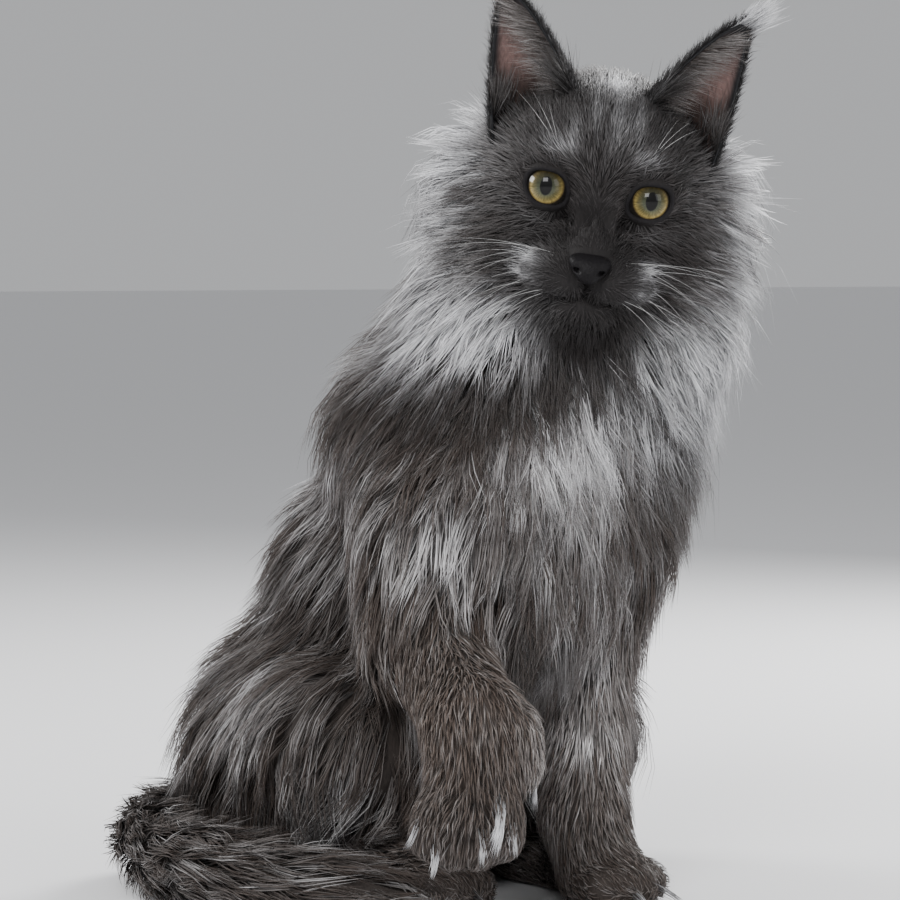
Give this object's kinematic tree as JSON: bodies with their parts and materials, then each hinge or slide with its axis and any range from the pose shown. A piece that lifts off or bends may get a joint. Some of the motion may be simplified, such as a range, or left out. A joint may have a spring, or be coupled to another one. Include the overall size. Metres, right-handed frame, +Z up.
{
  "type": "maine coon cat",
  "caption": "Long-haired young cat sitting upright with one forepaw lifted and its tail laid round its side; a still, life-size figure that rests on the floor.",
  "frame": {"origin": "on the floor, under the middle of the cat's bounding box", "axes": "+Z up; the chest faces -Y and +X is the cat's own left; the head is turned 35 degrees to the cat's right"},
  "size_m": [0.2498, 0.3114, 0.4242],
  "materials": {
    "face_coat": "short dark smoke fur",
    "ear_coat": "thin dark fur, pinkish brown skin inside",
    "ruff_coat": "long silver-white fur",
    "body_coat": "long black smoke fur with brown tinge",
    "nose_leather": "moist, finely pebbled",
    "eye": "clear, wet"
  },
  "bodies": {
    "root": {"head": "face_coat", "nose": "nose_leather", "eye_left": "eye", "eye_right": "eye", "ear_left": "ear_coat", "ear_right": "ear_coat", "neck": "ruff_coat", "torso": "body_coat", "front_leg_left": "body_coat", "front_leg_right": "body_coat", "front_paw_left": "body_coat", "front_paw_right": "body_coat", "hind_leg_left": "body_coat", "hind_leg_right": "body_coat", "hind_foot_left": "body_coat", "hind_foot_right": "body_coat", "tail_root": "body_coat", "tail_middle": "body_coat", "tail_tip": "body_coat"}
  },
  "joints": []
}
